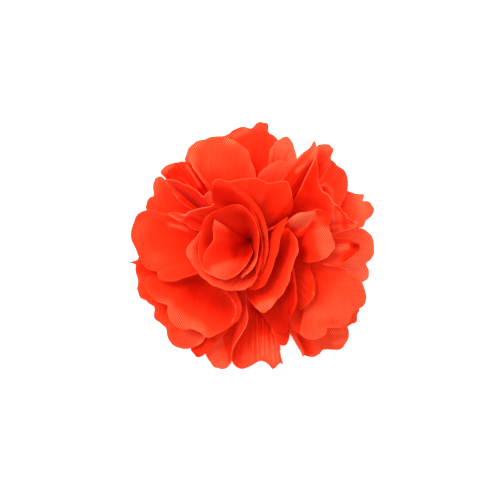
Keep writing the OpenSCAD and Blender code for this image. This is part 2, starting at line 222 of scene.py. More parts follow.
# %% Every petal of the flower
petals = [
    # The bud: a rolled heart and the petals wrapped round it.
    ["bud_heart", [250, 242, 0.7, 150, 335], [1.2, 0],
     [[215, 220, 100], [213, 230, 98], [214, 240, 96], [208, 249, 95], [204, 259, 94], [208, 270, 92],
      [218, 277, 91], [230, 278, 90], [240, 272, 89], [248, 263, 88], [253, 252, 86]]],
    ["bud_wrap_1", [250, 242, 2.2, 258, -85], [1.5, 0],
     [[228, 280, 80], [216, 277, 82], [206, 271, 84], [201, 262, 86], [199, 252, 88], [200, 243, 89],
      [202, 231, 92], [205, 220, 95], [213, 213, 97], [223, 209, 98], [235, 205, 98], [245, 208, 97],
      [252, 216, 96], [257, 228, 94], [259, 240, 92], [258, 252, 89], [256, 263, 86], [250, 271, 84],
      [241, 278, 81]]],
    ["bud_wrap_2", [248, 243, 10, 140, -52], [3.0, 0],
     [[215, 205, 86], [213, 196, 88], [214, 187, 90], [219, 185, 92], [227, 187, 93], [235, 192, 93],
      [243, 198, 93], [251, 208, 91], [257, 220, 88], [261, 234, 85], [263, 247, 82], [262, 256, 80],
      [261, 263, 80], [259, 270, 79], [257, 275, 78]]],
    ["bud_wrap_3", [246, 242, 14, 100, -48], [3.0, 0],
     [[233, 187, 78], [240, 190, 82], [247, 195, 84], [255, 203, 84], [262, 214, 82], [266, 226, 80],
      [268, 238, 78], [268, 250, 76], [266, 260, 74], [264, 266, 72], [262, 271, 70]]],
    ["bud_lip", [248, 243, 13, 160, 300], [1.5, 0],
     [[203, 229, 80], [196, 238, 84], [187, 250, 84], [190, 259, 82], [196, 268, 80], [202, 276, 79],
      [212, 284, 78], [225, 289, 77], [239, 290, 76], [250, 286, 76], [257, 277, 76]]],
    ["bud_flap", [248, 243, 17.5, 165, 115], [1.3, 0],
     [[195, 230, 66], [188, 225, 72], [181, 222, 78], [169, 214, 82], [179, 213, 80], [186, 214, 80],
      [191, 212, 82], [200, 209, 82], [210, 207, 79], [216, 202, 74], [222, 200, 68]]],
    ["bud_leaf", [248, 243, 16, 45, -70], [3.0, 0],
     [[269, 230, 78], [278, 225, 83], [287, 218, 86], [284, 227, 84], [280, 238, 82], [278, 250, 80],
      [274, 262, 77], [270, 274, 74], [264, 285, 70], [257, 289, 66], [250, 289, 62]]],

    # The standing petals round the bud.
    ["collar_petal", [248, 243, 26.5, 128, 32], [1.8, 0],
     [[217, 194, 58], [213, 184, 66], [218, 180, 72], [229, 182, 73], [240, 180, 74], [250, 179, 75],
      [260, 180, 75], [269, 184, 74], [279, 182, 75], [287, 183, 76], [290, 190, 76], [292, 200, 74],
      [291, 210, 70], [288, 216, 60]]],
    ["long_leaf", [248, 243, 27, 20, -105], [1.5, 0],
     [[287, 228, 60], [292, 233, 70], [297, 241, 73], [298, 251, 72], [294, 262, 71], [291, 273, 69],
      [288, 284, 67], [282, 294, 65], [274, 303, 62], [267, 311, 60], [260, 311, 58], [254, 305, 56],
      [248, 299, 52]]],
    ["petal_shadow", [248, 243, 31.5, -20, -78], [1.4, 4],
     [[291, 262, 54], [294, 275, 58], [296, 290, 58], [297, 300, 57], [294, 310, 54], [290, 317, 50],
      [288, 326, 46], [284, 333, 42], [276, 330, 38], [268, 322, 35], [262, 314, 34]]],
    ["petal_bright", [248, 243, 31, 21, -10], [1.4, 2],
     [[289, 220, 66], [296, 215, 73], [303, 213, 77], [311, 211, 72], [319, 210, 63], [328, 213, 60],
      [330, 220, 60], [328, 228, 63], [331, 236, 64], [334, 245, 63], [331, 252, 62], [324, 258, 60],
      [312, 262, 58], [304, 262, 54]]],
    ["petal_folded", [248, 243, 41, 30, 15], [1.3, 0],
     [[315, 157, 76], [317, 170, 71], [318, 184, 67], [322, 191, 64], [328, 196, 62], [333, 203, 60],
      [339, 208, 57], [345, 215, 52], [350, 220, 47], [356, 223, 42], [353, 228, 40], [344, 231, 40],
      [333, 234, 41]]],

    # The middle ring.
    ["petal_left", [248, 243, 31, 218, 180], [1.6, 4],
     [[196, 274, 48], [185, 277, 47], [172, 281, 46], [160, 279, 44], [158, 272, 43], [149, 269, 42],
      [141, 260, 41], [137, 250, 40], [132, 240, 38], [133, 226, 38], [138, 215, 40], [147, 210, 44],
      [155, 211, 47], [163, 213, 49], [171, 215, 51], [180, 218, 52], [188, 219, 54]]],
    ["petal_lower_left", [248, 243, 36.5, 241, 203], [1.2, 0],
     [[240, 301, 50], [242, 309, 49], [240, 316, 46], [235, 323, 43], [226, 329, 41], [216, 335, 38],
      [207, 337, 36], [200, 332, 34], [193, 329, 33], [183, 329, 32], [172, 323, 31], [168, 312, 31],
      [167, 305, 31], [157, 301, 30], [150, 295, 30], [146, 285, 29], [147, 277, 28]]],
    ["petal_low_fold", [248, 243, 35.5, 250, 264], [1.2, 0],
     [[204, 350, 4], [209, 361, 3], [214, 367, 3], [220, 369, 3], [227, 368, 6], [231, 362, 11],
      [232, 350, 22], [239, 338, 34], [245, 328, 43], [248, 318, 47]]],
    ["petal_tongue", [248, 243, 36.5, -18, -50], [1.4, 3],
     [[305, 261, 38], [309, 265, 41], [312, 275, 45], [315, 286, 47], [313, 297, 46], [308, 304, 44],
      [300, 310, 42]]],
    ["petal_lower_right", [249, 243, 41, -19, -57], [1.4, 3],
     [[339, 267, 31], [348, 271, 35], [356, 277, 35], [362, 283, 34], [364, 289, 34], [366, 298, 33],
      [364, 304, 33], [358, 309, 32], [352, 313, 32], [348, 323, 32], [340, 327, 32], [328, 328, 32],
      [325, 334, 32], [316, 339, 33], [306, 338, 34], [299, 333, 35], [293, 329, 37]]],
    ["petal_pocket", [248, 243, 36.5, -12, 12], [1.2, 3],
     [[328, 266, 52], [338, 266, 50], [347, 259, 44], [357, 252, 39], [359, 245, 43], [353, 241, 50],
      [345, 239, 54]]],
    ["petal_spike", [248, 243, 36.5, 66, 48], [1.3, 2],
     [[298, 159, 53], [304, 153, 56], [310, 148, 58], [314, 144, 59], [316, 150, 57], [316, 160, 52],
      [312, 172, 46], [305, 184, 42], [299, 195, 38]]],
    ["petal_top_small", [249, 243, 40, 90, 69], [1.4, 2],
     [[258, 178, 40], [262, 171, 41], [270, 165, 40], [280, 161, 38], [288, 163, 36], [292, 167, 34],
      [292, 175, 32]]],
    ["petal_top", [248, 243, 31, 128, 95], [1.4, 4],
     [[196, 172, 48], [190, 161, 46], [188, 151, 44], [195, 143, 42], [205, 140, 42], [216, 138, 42],
      [228, 139, 43], [240, 145, 44], [248, 152, 45], [251, 162, 46], [255, 172, 47], [256, 180, 46]]],
    ["petal_pleat", [248, 243, 35.5, 152, 136], [1.3, 0],
     [[177, 206, 34], [168, 192, 36], [164, 183, 41], [168, 180, 47], [176, 181, 52], [186, 185, 55],
      [196, 191, 57], [204, 197, 58], [207, 193, 60], [211, 191, 61]]],
    ["petal_upper_left", [248, 243, 31, 163, 150], [1.3, 4],
     [[160, 217, 36], [147, 209, 35], [147, 203, 36], [150, 198, 37], [154, 195, 38], [154, 187, 42],
      [155, 180, 46], [160, 177, 49], [165, 179, 51], [169, 185, 54], [175, 195, 56], [179, 201, 56]]],

    # The outer ring, whose rims make the outline.
    ["rim_left", [249, 243, 48, 207, 184], [1.5, 0],
     [[168, 301, 4], [157, 307, 3], [150, 304, 4], [146, 301, 4], [140, 297, 5], [137, 290, 6],
      [138, 283, 7], [136, 273, 8], [136, 264, 10], [140, 256, 12], [150, 250, 16]]],
    ["rim_lower_left", [249, 243, 47, 215, 230], [1.5, 1],
     [[149, 299, 14], [154, 306, 12], [154, 313, 11], [155, 319, 10], [161, 324, 9], [166, 328, 8],
      [167, 336, 7], [173, 345, 7], [182, 349, 7], [190, 348, 9], [198, 346, 12], [204, 341, 16],
      [207, 335, 20]]],
    ["rim_fold_low", [249, 243, 44, 238, 244], [1.5, 0],
     [[190, 345, 5], [192, 352, 5], [197, 357, 7], [204, 355, 13], [212, 347, 18], [221, 338, 23],
      [228, 330, 27]]],
    ["petal_low", [249, 243, 45, 263, 284], [1.6, 0],
     [[231, 353, 4], [232, 361, 3], [236, 367, 3], [243, 369, 5], [251, 366, 8], [260, 361, 10],
      [268, 364, 8], [273, 369, 8], [279, 364, 9], [281, 360, 10], [280, 352, 14], [280, 345, 17]]],
    ["rim_low_right", [249, 243, 40, 289, 296], [1.3, 2],
     [[272, 332, 30], [280, 344, 30], [285, 345, 29], [289, 338, 28], [290, 331, 28], [290, 322, 30]]],
    ["rim_right_low", [249, 243, 48, -27, -39], [1.4, 2],
     [[352, 302, 18], [359, 309, 17], [357, 316, 15], [356, 322, 14], [350, 325, 14], [340, 330, 15]]],
    ["rim_lower_right", [249, 243, 48, -46, -60], [1.4, 0],
     [[352, 318, 6], [348, 325, 5], [349, 333, 4], [347, 342, 3], [341, 349, 2], [331, 350, 2],
      [323, 350, 2], [319, 355, 2], [312, 357, 3], [303, 355, 4], [298, 349, 6], [292, 339, 11],
      [289, 330, 16]]],
    ["rim_right", [249, 243, 48, 4, -22], [1.4, 2],
     [[351, 228, 11], [363, 229, 8], [371, 235, 6], [374, 246, 6], [374, 253, 6], [370, 260, 6],
      [366, 264, 6], [369, 271, 6], [368, 278, 7], [361, 283, 9]]],
    ["rim_right_high", [249, 243, 48, 27, 10], [1.3, 2],
     [[343, 189, 10], [350, 192, 8], [358, 194, 8], [364, 195, 8], [363, 201, 8], [369, 202, 8],
      [374, 208, 9], [372, 215, 10], [366, 221, 12], [362, 227, 15], [352, 228, 19], [340, 229, 23]]],
    ["rim_right_up", [249, 243, 45, 43, 35], [1.3, 2],
     [[325, 160, 22], [329, 158, 21], [333, 161, 20], [337, 166, 19], [343, 169, 18], [347, 177, 17],
      [348, 187, 18], [345, 196, 20], [340, 206, 24]]],
    ["rim_upper_right", [249, 243, 41, 56, 46], [1.3, 2],
     [[318, 145, 41], [328, 145, 38], [333, 149, 36], [331, 156, 35], [329, 163, 34]]],
    ["rim_top_right", [249, 243, 48, 71, 59], [1.4, 2],
     [[270, 150, 26], [277, 141, 22], [285, 137, 20], [291, 140, 20], [294, 148, 21], [297, 159, 24],
      [297, 170, 26]]],
    ["rim_top", [249, 243, 48, 100, 77], [1.4, 1],
     [[228, 140, 19], [231, 132, 14], [237, 128, 11], [244, 127, 10], [251, 128, 9], [257, 123, 7],
      [262, 122, 6], [268, 124, 6], [268, 131, 7], [273, 135, 8], [277, 139, 9], [281, 146, 11],
      [285, 156, 14]]],
    ["rim_top_left", [249, 243, 48, 128, 107], [1.4, 2],
     [[186, 165, 14], [185, 158, 10], [188, 150, 8], [195, 143, 6], [204, 140, 5], [213, 136, 4],
      [224, 136, 3], [232, 132, 3], [237, 137, 4]]],
    ["petal_pleat_back", [249, 243, 43, 150, 136], [1.3, 0],
     [[167, 181, 28], [161, 172, 25], [165, 167, 30], [174, 163, 25], [180, 162, 31], [186, 162, 26],
      [191, 165, 24], [198, 168, 27]]],
]
print("rows in the table:", len(petals))

# %% [markdown]
# ## Satin
# The flower is one cloth all over: polyester satin, a deep orange red. Close up it shows a fine diagonal
# weave, faint streaks along the threads, and a paler, glassy line along each cut edge, where the hot knife
# melted the threads together; that line is also brightened as a painted highlight. The pattern follows each
# petal's own cloth map, in metres, so the weave has one scale on all petals. Point attributes say how near a
# cut edge is, and carry the painted shade and painted light of each petal: deep where shade falls between
# petals, pale where light falls or glows through.

# %% The satin material
# The weave's waves are in metres, and the streaks and clouds are counts for each metre.
lean_across, lean_along = 0.83, 0.56
twill_w, counter_w = 0.00066, 0.00069
twill_part, counter_part = 0.7, 0.5
streaks_across, streaks_along, clouds = 1500, 120, 90.0
# How much each thing adds to the tone and the bump: the weave shows more in the painted light, and the cut
# edge gets a partly painted highlight.
twill_tone, weave_in_painted_light, streak_tone, cloud_tone, seal_and_highlight_tone = 0.13, 1.3, 0.30, 0.25, 0.5
twill_height, bump_in_painted_light, streak_height = 0.1, 0.6, 0.8
matt, edge_gloss, streak_gloss = 0.56, 0.12, 0.2


def satin(name, deep, colour, pale):
    """Woven satin. A tone from -1 to 1 goes from the deep colour, a painted shade, over the plain one to the
    pale one, a painted light: it is the petal's painted light and shade, plus the weave's dots, the threads'
    streaks, cloudy patches and the cut edge, whose pale seal is partly a painted highlight. The weave is two
    crossed sine waves, which show more where the painted light is pale."""
    bench = Bench(name)
    cloth_map = bench.add("UVMap", {"uv_map": "cloth"})
    across = bench.add("SeparateXYZ", None, {0: cloth_map})
    along = across.output(1)
    place = bench.add("TexCoord", out=3)
    twill = (across * lean_across + along * lean_along).wave(twill_w)
    weave = twill * twill_part + (across * lean_across - along * lean_along).wave(counter_w) * counter_part
    thread = bench.add("CombineXYZ", None, {0: across * streaks_across, 1: along * streaks_along})
    streak = bench.add("TexNoise", None, {"Vector": thread, "Scale": 1.0, "Detail": 2.0})
    cloud = bench.add("TexNoise", None, {"Vector": place, "Scale": clouds, "Detail": 3.0})
    edge = bench.add("Attribute", {"attribute_name": "edge"}, out=2)
    # The shade attribute holds painted light and painted shade: deep in hollows and shadows, pale on
    # highlights.
    shade = bench.add("Attribute", {"attribute_name": "shade"}, out=2)
    painted_light = shade.math("MAXIMUM", shade, 0.0)
    tone = shade + weave * (twill_tone + weave_in_painted_light * painted_light) + (streak - 0.5) * streak_tone
    tone = tone + (cloud - 0.5) * cloud_tone + edge * seal_and_highlight_tone
    rich = bench.add("Mix", {"data_type": "RGBA"},
                     {0: (1 + tone).limited(), 6: (*deep, 1), 7: (*colour, 1)}, out=2)
    mixed = bench.add("Mix", {"data_type": "RGBA"}, {0: tone.limited(), 6: rich, 7: (*pale, 1)}, out=2)
    height = weave * (twill_height + bump_in_painted_light * painted_light) + streak * streak_height
    bump = bench.add("Bump", None, {"Strength": 0.4, "Distance": 0.0001, "Height": height})
    return bench.finish(
        Base_Color=mixed, Roughness=matt - edge_gloss * edge + (streak - 0.5) * streak_gloss, Normal=bump,
        Sheen_Weight=0.05, Sheen_Roughness=0.40, Sheen_Tint=(1.0, 0.16, 0.05, 1),
        Specular_IOR_Level=0.10, Specular_Tint=(1.0, 0.30, 0.10, 1))


# The deep colour is painted shade, the pale one painted light, and the plain one the satin's own red.
satin_red = satin("satin", deep=(0.50, 0.004, 0.0008), colour=(0.94, 0.026, 0.006), pale=(1.0, 0.17, 0.075))
print("satin nodes:", len(satin_red.node_tree.nodes))

# %% [markdown]
# ## The plain cloth
# A petal is a function of two parameters on a grid. `s` runs along its cut edge, and `v` from the sewn
# root to that edge. The edge is a smooth curve through the few rows of the petal's table, the root is an
# arc of its ring, and each strip between them is bent by two numbers. So a turn of the cut edge runs down
# into the cloth as a fold, as it does in gathered satin.

# %% The rim's curve, and the cloth from the root to it
def smooth_curve(rows, t):
    """A smooth curve through all the rows, at places t counted in rows:
    half of 2b + (c - a)f + (2a - 5b + 4c - d)f^2 + (3b - a - 3c + d)f^3, with f the share of the way."""
    p = np.asarray(rows, float)
    p = np.vstack([2 * p[0] - p[1], p, 2 * p[-1] - p[-2]])
    k = np.clip(np.floor(t).astype(int), 0, len(rows) - 2)
    f = (t - k)[:, None]
    a, b, c, d = p[k], p[k + 1], p[k + 2], p[k + 3]
    bend, twist = 2 * a - 5 * b + 4 * c - d, 3 * b - a - 3 * c + d
    return 0.5 * (2 * b + (c - a) * f + bend * f ** 2 + twist * f ** 3)


def base_cloth(petal, s, v):
    """The plain cloth in steps. In plan a strip is straight from its root to its rim. Its height is
    root + (rim - root)(1 - (1 - v)^rise) + arch 4v(1 - v)."""
    (cx, cy, radius, start, end), (rise, arch), rows = petal[1:]
    rim = smooth_curve(rows, s * (len(rows) - 1))
    angle = np.radians(start + (end - start) * s)
    low = root_z + root_rise * (edge_ring - radius)
    root = np.stack([cx + radius * np.cos(angle), cy - radius * np.sin(angle), np.full_like(s, low)], 1)
    points = root + (rim - root) * v[:, None, None]
    up = 1 - (1 - v) ** rise
    points[..., 2] = low + (rim[:, 2] - low) * up[:, None] + arch * (4 * v * (1 - v))[:, None]
    return points


print("highest rim, in steps:", max(row[2] for petal in petals for row in petal[3]))

# %% [markdown]
# ## Creases and drawn lines
# Gathered satin is never smooth. Small creases fan out from the stitches, and come from a few sines with a
# seed for each petal. The folds that one can see in the real flower are drawn instead: a line on the chart,
# along which the cloth rises like a soft wave. The same kind of line also lays painted highlights and
# painted shadows on it.

# %% Small creases, and ridges along drawn lines
crease_sines = 6
far, tiny, hair = 1e9, 1e-9, 1e-6


def normals_of(points):
    """Unit normals of a grid of points: the cross product of its two directions."""
    n = np.cross(np.gradient(points, axis=1), np.gradient(points, axis=0))
    return n / np.maximum(np.linalg.norm(n, axis=2, keepdims=True), tiny)


def creases(seed, s, v, count, size):
    """Small folds that fan out from the root: six sines across the petal with frequencies near count,
    each with its own place, drift and strength, which grow from nothing at the root as v^0.7."""
    rng = np.random.default_rng(seed)
    total = np.zeros((len(v), len(s)))
    for k in range(crease_sines):
        turns = count * rng.uniform(0.5, 2.0)
        drift = rng.uniform(-0.25, 0.25)
        start = rng.uniform(0, 1)
        fade = rng.uniform(0.2, 0.9)
        strength = size / (1 + k) * (v ** 0.7 * (1 - fade * v))[:, None]
        total += strength * np.sin(2 * np.pi * (turns * (s[None, :] + drift * v[:, None]) + start))
    return total


def near_lines(rows, x, y):
    """The sum over the rows [height, left, right, x0, y0, x1, y1, ...] of height exp(-(d / width)^2). Here d
    is the distance on the chart from the row's line, and width is left or right, by the side of the line,
    or between them past its ends."""
    total = np.zeros_like(x)
    for height, left, right, *line in rows:
        corners = np.array(line, float).reshape(-1, 2)
        best, side = np.full_like(x, far), np.zeros_like(x)
        for (ax, ay), (bx, by) in zip(corners[:-1], corners[1:]):
            dx, dy = bx - ax, by - ay
            share = np.clip(((x - ax) * dx + (y - ay) * dy) / (dx * dx + dy * dy), 0, 1)
            gap = np.hypot(x - ax - share * dx, y - ay - share * dy)
            turn = (dx * (y - ay) - dy * (x - ax)) / np.hypot(dx, dy)
            nearer = (gap < best - hair) | ((gap < best + hair) & (np.abs(turn) > np.abs(side)))
            side = np.where(nearer, turn, side)
            best = np.minimum(gap, best)
        share = 0.5 + 0.5 * side / np.maximum(best, tiny)
        total += height * np.exp(-(best / (left + (right - left) * share)) ** 2)
    return total


print("sines in a petal's creases:", crease_sines)

# %% [markdown]
# ## The finished cloth
# The plain cloth changes in the order in which the real petal does. The hot knife cuts the scallops and
# draws out threads, the gathers push up pleats and creases, and the maker's fingers add the folds. All of
# it fades toward the stitched root, where the cloth is held.

# %% Spikes, scallops, pleats and folds
side_share = 0.05
lobe_from, lobe_level = 0.6, 0.6
pleat_from, pleat_full, pleat_loss = 0.1, 0.7, 0.3
fold_full = 0.3


def fade_in(x, start, end):
    """0 before start, 1 after end, and a smooth step between them."""
    t = np.clip((x - start) / (end - start), 0, 1)
    return t * t * (3 - 2 * t)


def cloth(petal, s, v, look):
    """The finished cloth in steps. A spike pulls the points within its reach by (1 - distance / reach)^2. A
    scallop moves the rim outward by |sin| of the way along the cut, less 0.6. Then the cloth moves along its
    normal by a sine of pleats, by the creases, and by its own folds."""
    points = base_cloth(petal, s, v)
    for x, y, dx, dy, reach in look["spikes"]:
        pull = np.clip(1 - np.hypot(points[..., 0] - x, points[..., 1] - y) / reach, 0, 1) ** 2
        points[..., :2] += pull[..., None] * np.array([dx, dy])
    facing = normals_of(points)
    facing *= np.sign(facing[..., 2].mean())
    own = near_lines(look["folds"], points[..., 0], points[..., 1])
    rim_run = np.linalg.norm(np.diff(points[-1], axis=0), axis=1).sum()
    arcs = np.abs(np.sin(np.pi * (s * rim_run / look["lobe_run"] + look["lobe_at"])))
    lobes = look["lobe"] * (arcs - lobe_level)
    ends = fade_in(s, 0, side_share) * fade_in(1 - s, 0, side_share)
    out = points[-1] - points[0]
    out /= np.linalg.norm(out, axis=1, keepdims=True)
    points += (lobes * ends)[None, :, None] * fade_in(v, lobe_from, 1)[:, None, None] * out[None]
    rise = look["pleat"] * np.sin(2 * np.pi * (look["pleats"] * s + look["pleat_at"])) * ends
    rise = rise[None, :] * (fade_in(v, pleat_from, pleat_full) * (1 - pleat_loss * v))[:, None]
    rise += creases(look["seed"], s, v, look["creases"], look["crease"]) * ends[None, :]
    rise += own * fade_in(v, 0.0, fold_full)[:, None]
    return points + facing * rise[..., None]


def painted_shading_of(points, v, look):
    """The petal's painted light and shade: from its root value to its rim value as v^2, plus its painted
    highlight and shadow lines.
    """
    plain = look["root"] + (look["rim"] - look["root"]) * v[:, None] ** 2
    return plain + near_lines(look["painted_shading_lines"], points[..., 0], points[..., 1])


print("plain share at each side:", side_share)
